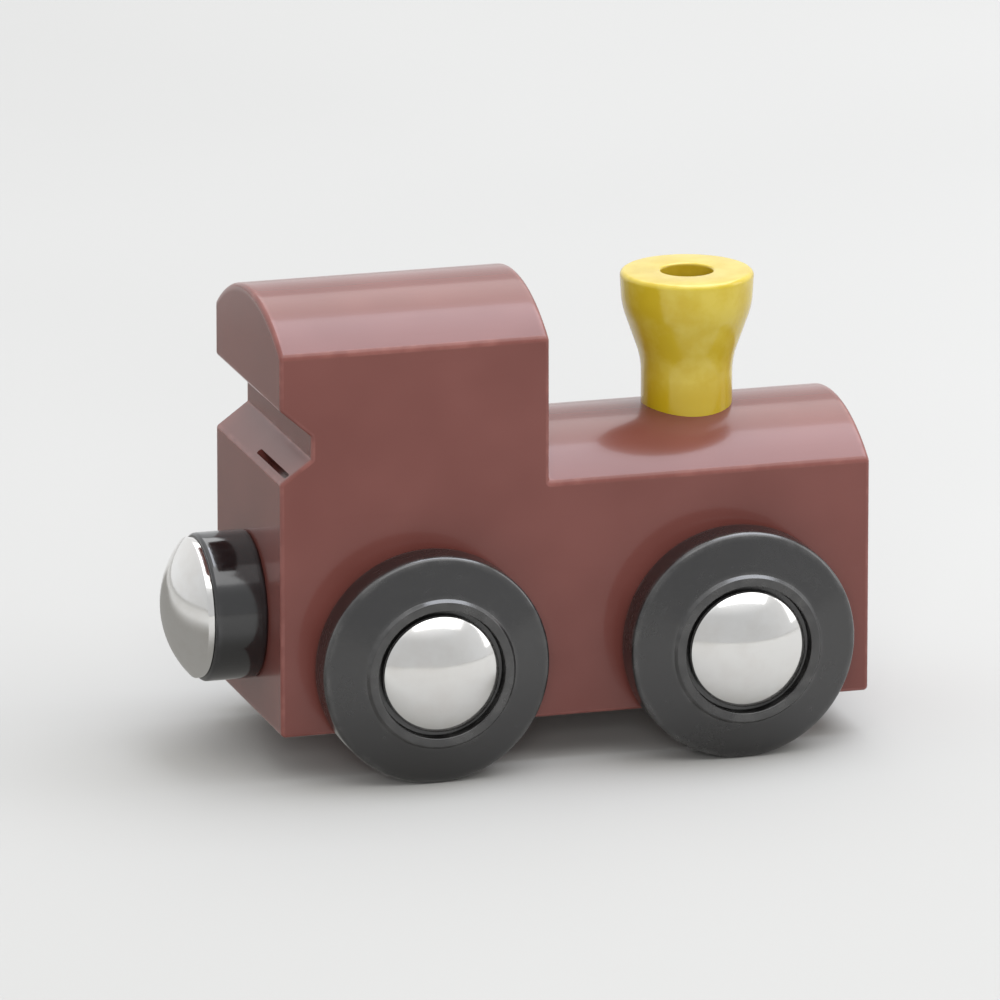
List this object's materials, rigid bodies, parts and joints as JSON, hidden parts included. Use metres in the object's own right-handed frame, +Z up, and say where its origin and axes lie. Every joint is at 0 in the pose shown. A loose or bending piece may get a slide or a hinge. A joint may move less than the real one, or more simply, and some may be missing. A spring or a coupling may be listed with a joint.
{
  "type": "toy train locomotive",
  "caption": "Small painted wooden toy train locomotive with an arched cab and boiler, a turned chimney, free-rolling wheels and a domed magnetic coupler at the rear.",
  "frame": {"origin": "on the rail plane, under the middle of the overall length and width", "axes": "+X forward, along the boiler; +Y to the locomotive's left; +Z up"},
  "size_m": [0.0602, 0.0352, 0.0409],
  "materials": {
    "body_paint": "satin maroon brown paint on wood",
    "chimney_paint": "gloss yellow paint on turned wood",
    "bare_wood": "bare",
    "black_plastic": "gloss black",
    "wheel_plastic": "satin dark grey",
    "spacer_nylon": "matt dark grey",
    "axle_steel": "drawn",
    "polished_cap": "polished",
    "zinc_steel": "zinc plated",
    "magnet": "nickel plated"
  },
  "bodies": {
    "locomotive": {"body_block": "body_paint", "chimney": "chimney_paint", "chimney_dowel": "bare_wood", "coupler_holder": "black_plastic", "coupler_washer": "zinc_steel", "coupler_screw": "zinc_steel", "coupler_magnet": "magnet", "coupler_pole_cap": "polished_cap"},
    "rear_axle_set": {"rear_axle": "axle_steel", "rear_left_spacer": "spacer_nylon", "rear_left_axle_cap": "polished_cap", "rear_right_spacer": "spacer_nylon", "rear_right_axle_cap": "polished_cap"},
    "rear_left_wheel_set": {"rear_left_wheel": "wheel_plastic"},
    "rear_right_wheel_set": {"rear_right_wheel": "wheel_plastic"},
    "front_axle_set": {"front_axle": "axle_steel", "front_left_spacer": "spacer_nylon", "front_left_axle_cap": "polished_cap", "front_right_spacer": "spacer_nylon", "front_right_axle_cap": "polished_cap"},
    "front_left_wheel_set": {"front_left_wheel": "wheel_plastic"},
    "front_right_wheel_set": {"front_right_wheel": "wheel_plastic"}
  },
  "joints": [
    {"name": "rear_axle_spin", "type": "hinge", "parent": "locomotive", "child": "rear_axle_set", "pos_m": [-0.00985, 0, 0.01], "axis": [0, 1, 0], "continuous": true},
    {"name": "rear_left_wheel_spin", "type": "hinge", "parent": "rear_axle_set", "child": "rear_left_wheel_set", "pos_m": [-0.00985, 0.01295, 0.01], "axis": [0, 1, 0], "continuous": true},
    {"name": "rear_right_wheel_spin", "type": "hinge", "parent": "rear_axle_set", "child": "rear_right_wheel_set", "pos_m": [-0.00985, -0.01295, 0.01], "axis": [0, 1, 0], "continuous": true},
    {"name": "front_axle_spin", "type": "hinge", "parent": "locomotive", "child": "front_axle_set", "pos_m": [0.01745, 0, 0.01], "axis": [0, 1, 0], "continuous": true},
    {"name": "front_left_wheel_spin", "type": "hinge", "parent": "front_axle_set", "child": "front_left_wheel_set", "pos_m": [0.01745, 0.01295, 0.01], "axis": [0, 1, 0], "continuous": true},
    {"name": "front_right_wheel_spin", "type": "hinge", "parent": "front_axle_set", "child": "front_right_wheel_set", "pos_m": [0.01745, -0.01295, 0.01], "axis": [0, 1, 0], "continuous": true}
  ]
}
